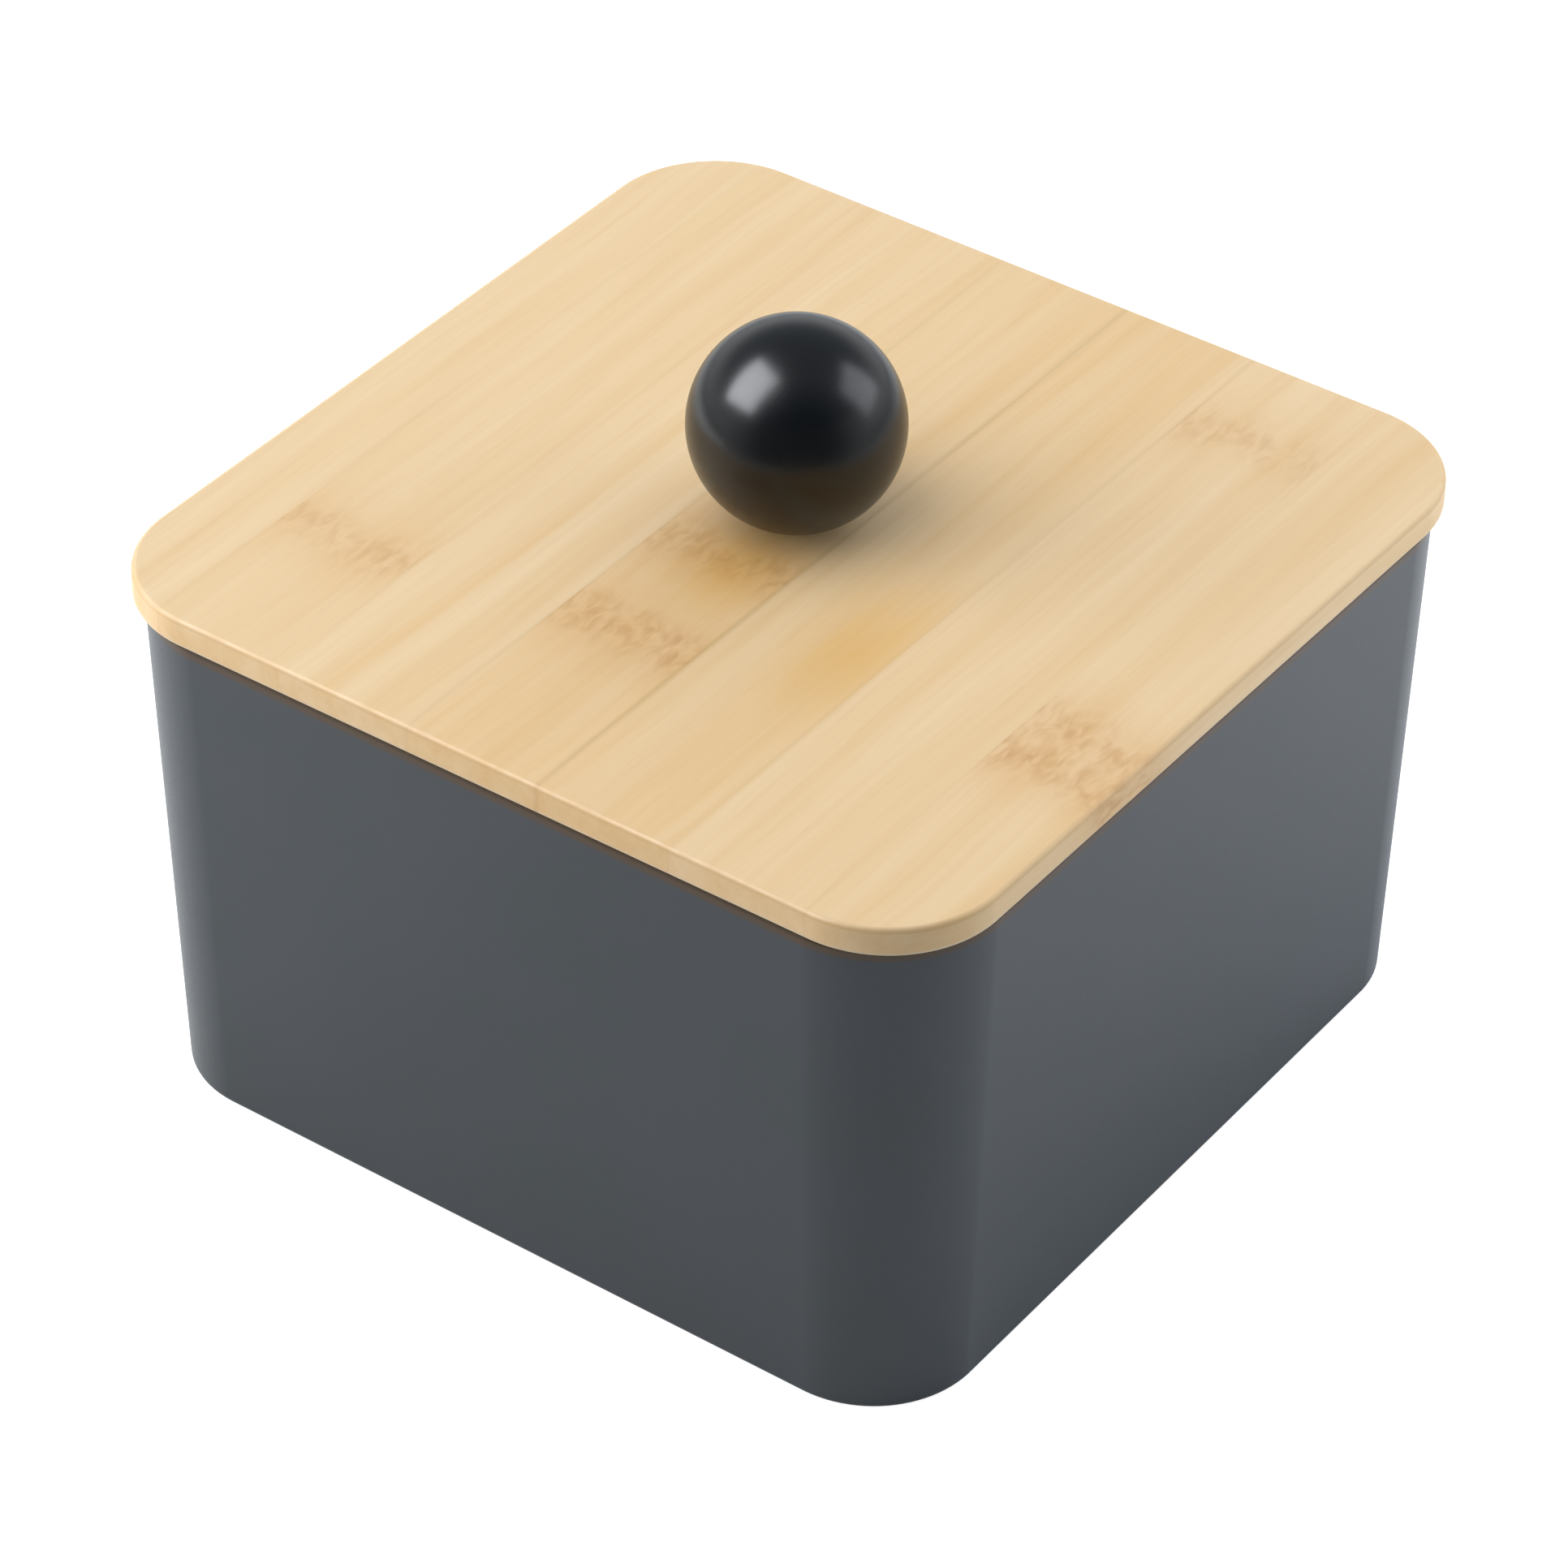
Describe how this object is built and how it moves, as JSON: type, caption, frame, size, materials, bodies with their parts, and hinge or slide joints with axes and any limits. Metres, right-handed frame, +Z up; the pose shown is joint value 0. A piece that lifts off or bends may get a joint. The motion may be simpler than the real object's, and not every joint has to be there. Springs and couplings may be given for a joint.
{
  "type": "organizer box",
  "caption": "Square lidded organizer box: leaning moulded walls, a flat lift-off lid of edge-glued bamboo strips, and a ball knob screwed on from below.",
  "frame": {"origin": "centre of the foot ring's plane, under the middle of the box", "axes": "+Z up through the ball knob, -Y the front face, +X the right face; the lid's bamboo strips run along Y"},
  "size_m": [0.1372, 0.1372, 0.1152],
  "materials": {
    "box_plastic": "matte dark grey moulding with a fine texture",
    "lid_bamboo": "natural bamboo, sanded and thinly oiled",
    "plate_bamboo": "natural bamboo, sanded",
    "knob_gloss": "polished black",
    "insert_brass": "turned",
    "screw_steel": "zinc plated"
  },
  "bodies": {
    "box": {"box_shell": "box_plastic"},
    "lid": {"lid_strip_1": "lid_bamboo", "lid_strip_2": "lid_bamboo", "lid_strip_3": "lid_bamboo", "lid_strip_4": "lid_bamboo", "lid_strip_5": "lid_bamboo", "lid_strip_6": "lid_bamboo", "lid_strip_7": "lid_bamboo", "plate_strip_1": "plate_bamboo", "plate_strip_2": "plate_bamboo", "plate_strip_3": "plate_bamboo", "plate_strip_4": "plate_bamboo", "plate_strip_5": "plate_bamboo", "plate_strip_6": "plate_bamboo", "plate_strip_7": "plate_bamboo", "knob_ball": "knob_gloss", "knob_insert": "insert_brass", "knob_screw": "screw_steel", "screw_washer": "screw_steel"}
  },
  "joints": [
    {"name": "lid_lift", "type": "slide", "parent": "box", "child": "lid", "axis": [0, 0, 1], "range_m": [0, 0.1]}
  ]
}
